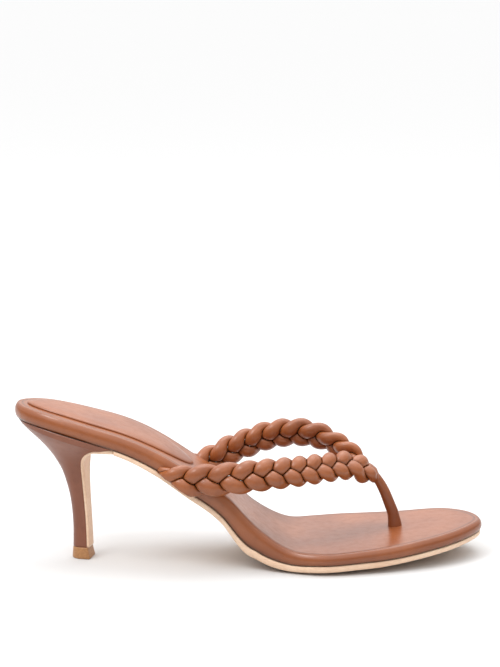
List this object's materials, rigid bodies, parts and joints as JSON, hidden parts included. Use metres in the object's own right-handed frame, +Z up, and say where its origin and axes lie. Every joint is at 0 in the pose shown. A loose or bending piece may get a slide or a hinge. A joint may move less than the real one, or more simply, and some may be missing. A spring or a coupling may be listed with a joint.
{
  "type": "heeled thong sandal",
  "caption": "Heeled toe-post sandal: curved leather footbed on a slim heel, with plaited straps that meet at the toe post.",
  "frame": {"origin": "on the ground, at the middle of the bounding box of the standing sandal", "axes": "+X from the heel to the toe, +Y to the inner side of the foot, +Z up"},
  "size_m": [0.232, 0.0798, 0.08],
  "materials": {
    "footbed_leather": "smooth calf leather, cognac brown, satin",
    "heel_leather": "smooth calf leather stretched over the heel, cognac brown, satin",
    "strap_leather": "soft nappa leather, cognac brown, satin with fine creases",
    "outsole_leather": "natural sole leather, pale beige, burnished edge",
    "insole_board": "cellulose board",
    "shank_board": "hard moulded cellulose board",
    "cork": "ground cork sheet",
    "foam": "thin latex foam",
    "steel": "plain steel",
    "brass": "brass rivets",
    "heel_plastic": "moulded plastic under the leather",
    "top_piece_rubber": "hard polyurethane, ochre brown",
    "cord": "twisted cotton cord"
  },
  "bodies": {
    "rear": {"outsole_rear": "outsole_leather", "insole_board_rear": "insole_board", "bottom_filler_rear": "cork", "footbed_foam_rear": "foam", "footbed_cover_rear": "footbed_leather", "heel_pad_cover": "footbed_leather", "heel_pad_foam": "foam", "shank_board": "shank_board", "shank": "steel", "shank_rivets": "brass", "heel_core": "heel_plastic", "heel_cover": "heel_leather", "heel_breast_flap": "outsole_leather", "heel_dowel": "steel", "heel_screw": "steel", "heel_nails": "steel", "top_piece": "top_piece_rubber", "top_piece_pin": "steel", "lateral_anchor_tab": "strap_leather", "medial_anchor_tab": "strap_leather", "anchor_tacks": "steel"},
    "forefoot": {"outsole_forepart": "outsole_leather", "insole_board_forepart": "insole_board", "bottom_filler_forepart": "cork", "footbed_foam_forepart": "foam", "footbed_cover_forepart": "footbed_leather", "toe_post_anchor": "strap_leather"},
    "straps": {"lateral_strand_a": "strap_leather", "lateral_strand_b": "strap_leather", "lateral_strand_c": "strap_leather", "medial_strand_a": "strap_leather", "medial_strand_b": "strap_leather", "medial_strand_c": "strap_leather", "braid_collar": "strap_leather"},
    "toe_post": {"toe_post_cover": "strap_leather", "toe_post_cord": "cord"}
  },
  "joints": [
    {"name": "forefoot_flex", "type": "hinge", "parent": "rear", "child": "forefoot", "pos_m": [0.038, 0, 0.0106], "axis": [0, -1, 0], "range_deg": [0, 25], "stiffness_Nm_per_rad": 2},
    {"name": "strap_lift", "type": "hinge", "parent": "rear", "child": "straps", "pos_m": [-0.033, 0, 0.046], "axis": [0, -1, 0], "range_deg": [0, 10]},
    {"name": "toe_post_swing", "type": "hinge", "parent": "forefoot", "child": "toe_post", "pos_m": [0.0733, 0.0076, 0.016], "axis": [0, 1, 0], "range_deg": [0, 44]}
  ],
  "couplings": [
    {"joint": "strap_lift", "follows": "forefoot_flex", "ratio": 0.382},
    {"joint": "toe_post_swing", "follows": "forefoot_flex", "ratio": 1.72}
  ]
}
